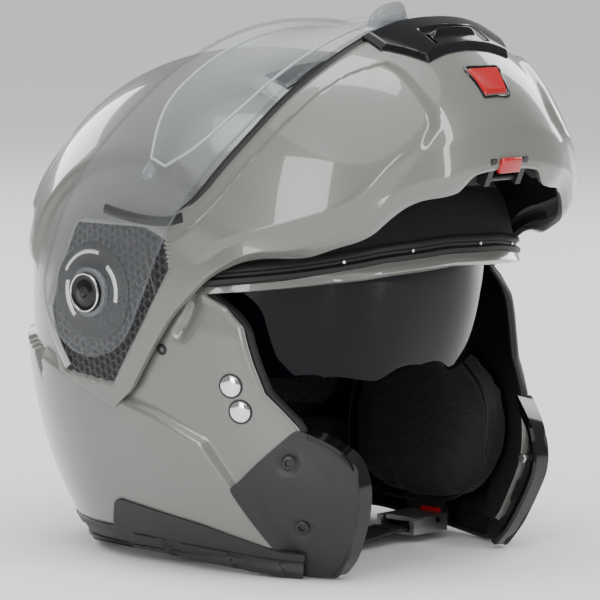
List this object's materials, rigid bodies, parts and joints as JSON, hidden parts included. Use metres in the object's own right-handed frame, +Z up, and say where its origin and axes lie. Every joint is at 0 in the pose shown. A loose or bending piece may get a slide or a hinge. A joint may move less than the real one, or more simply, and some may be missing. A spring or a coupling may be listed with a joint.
{
  "type": "motorcycle helmet",
  "caption": "Modular motorcycle helmet with a raised chin bar and clear visor, an inner sun visor, soft lining, vents and a ratchet chin strap.",
  "frame": {"origin": "middle of the neck opening on the plane the base stands on, below the ear line", "axes": "+X to the wearer's left, -Y to the front, +Z up"},
  "size_m": [0.2708, 0.287, 0.2851],
  "materials": {
    "shell_paint": "gloss stone grey",
    "clear": "clear polycarbonate",
    "smoke": "dark smoke polycarbonate",
    "matte_black": "matte black",
    "gloss_black": "gloss black",
    "rubber": "soft rubber",
    "foam": "dark expanded foam",
    "fabric": "knitted lining",
    "webbing": "woven webbing",
    "steel": "brushed",
    "chrome": "polished",
    "red": "gloss red",
    "silver_paint": "silver"
  },
  "bodies": {
    "helmet": {"outer_shell": "shell_paint", "foam_liner": "foam", "foam_crown": "foam", "comfort_liner": "fabric", "cheek_pad_left": "fabric", "cheek_pad_right": "fabric", "neck_roll": "fabric", "brow_gasket": "rubber", "port_trim": "rubber", "wing_cover_left": "matte_black", "wing_cover_right": "matte_black", "lock_plates": "gloss_black", "lock_strikers": "steel", "bottom_trim": "matte_black", "strap_rivets": "chrome", "wing_screws": "matte_black", "side_screws": "matte_black", "top_vent_base": "shell_paint", "rear_spoiler": "shell_paint", "rear_extractor": "matte_black", "hinge_rails": "matte_black", "sun_visor_pins": "matte_black", "comm_cover": "shell_paint", "strap_left": "webbing", "strap_right": "webbing", "buckle_body": "steel", "buckle_pin": "steel", "strap_tongue": "matte_black"},
    "hinge_carriers": {"hinge_carriers": "matte_black"},
    "chin_bar": {"chin_bar": "shell_paint", "chin_bushes": "matte_black", "chin_liner": "fabric", "side_plate_left": "matte_black", "side_plate_right": "matte_black", "side_slots": "silver_paint", "chin_vent_base": "gloss_black", "lever_pin": "steel", "hook_pins": "steel", "visor_posts": "matte_black", "visor_ratchets": "chrome", "pivot_caps": "gloss_black", "visor_seal": "rubber"},
    "chin_vent_slider": {"chin_vent_slider": "gloss_black"},
    "release_button": {"release_button": "red"},
    "release_lever": {"release_lever": "red"},
    "lock_hooks": {"lock_hook_left": "steel", "lock_hook_right": "steel"},
    "visor": {"visor": "clear", "visor_bushes": "clear", "fog_lens": "clear", "fog_pins": "clear"},
    "sun_visor": {"sun_visor": "smoke", "sun_visor_ears": "matte_black"},
    "sun_visor_slider": {"sun_visor_slider": "matte_black"},
    "top_vent_slider": {"top_vent_slider": "gloss_black"},
    "buckle_lever": {"buckle_lever": "steel"},
    "buckle_tab": {"buckle_tab": "red"}
  },
  "joints": [
    {"name": "chin_carrier_slide", "type": "slide", "parent": "helmet", "child": "hinge_carriers", "axis": [0, -0.8682, -0.4961], "range_m": [0, 0.01617]},
    {"name": "chin_bar_hinge", "type": "hinge", "parent": "hinge_carriers", "child": "chin_bar", "pos_m": [0, 0, 0.143], "axis": [1, 0, 0], "range_deg": [0, 68]},
    {"name": "visor_hinge", "type": "hinge", "parent": "chin_bar", "child": "visor", "pos_m": [0, 0, 0.143], "axis": [1, 0, 0], "range_deg": [-50, 0]},
    {"name": "chin_vent_slide", "type": "slide", "parent": "chin_bar", "child": "chin_vent_slider", "axis": [0, -0.9272, -0.3746], "range_m": [0, 0.005]},
    {"name": "release_button_slide", "type": "slide", "parent": "chin_bar", "child": "release_button", "axis": [0, 0.3746, -0.9272], "range_m": [0, 0.0022], "stiffness_N_per_m": 400, "springref_m": -0.0005},
    {"name": "release_lever_hinge", "type": "hinge", "parent": "chin_bar", "child": "release_lever", "pos_m": [0, -0.16242, 0.20464], "axis": [1, 0, 0], "range_deg": [0, 12.5]},
    {"name": "lock_hooks_hinge", "type": "hinge", "parent": "chin_bar", "child": "lock_hooks", "pos_m": [0, -0.13865, 0.23258], "axis": [1, 0, 0], "range_deg": [0, 12], "stiffness_Nm_per_rad": 0.05, "springref_deg": -2.86},
    {"name": "sun_visor_hinge", "type": "hinge", "parent": "helmet", "child": "sun_visor", "pos_m": [0, -0.014, 0.15], "axis": [1, 0, 0], "range_deg": [-42, 0]},
    {"name": "sun_visor_slider_slide", "type": "slide", "parent": "helmet", "child": "sun_visor_slider", "axis": [0, 1, 0], "range_m": [0, 0.0181]},
    {"name": "top_vent_slide", "type": "slide", "parent": "helmet", "child": "top_vent_slider", "axis": [0, 0.96, 0.28], "range_m": [0, 0.006]},
    {"name": "buckle_lever_hinge", "type": "hinge", "parent": "helmet", "child": "buckle_lever", "pos_m": [0.06, -0.062, 0.011], "axis": [0, 1, 0], "range_deg": [0, 60], "stiffness_Nm_per_rad": 0.02, "springref_deg": -5.73},
    {"name": "buckle_tab_slide", "type": "slide", "parent": "helmet", "child": "buckle_tab", "axis": [1, 0, 0], "range_m": [0, 0.0015], "stiffness_N_per_m": 300, "springref_m": -0.0005}
  ],
  "couplings": [
    {"joint": "chin_carrier_slide", "follows": "chin_bar_hinge", "m_per_rad": 0.013586},
    {"joint": "release_lever_hinge", "follows": "lock_hooks_hinge", "ratio": 1},
    {"joint": "sun_visor_slider_slide", "follows": "sun_visor_hinge", "m_per_rad": -0.024555}
  ]
}
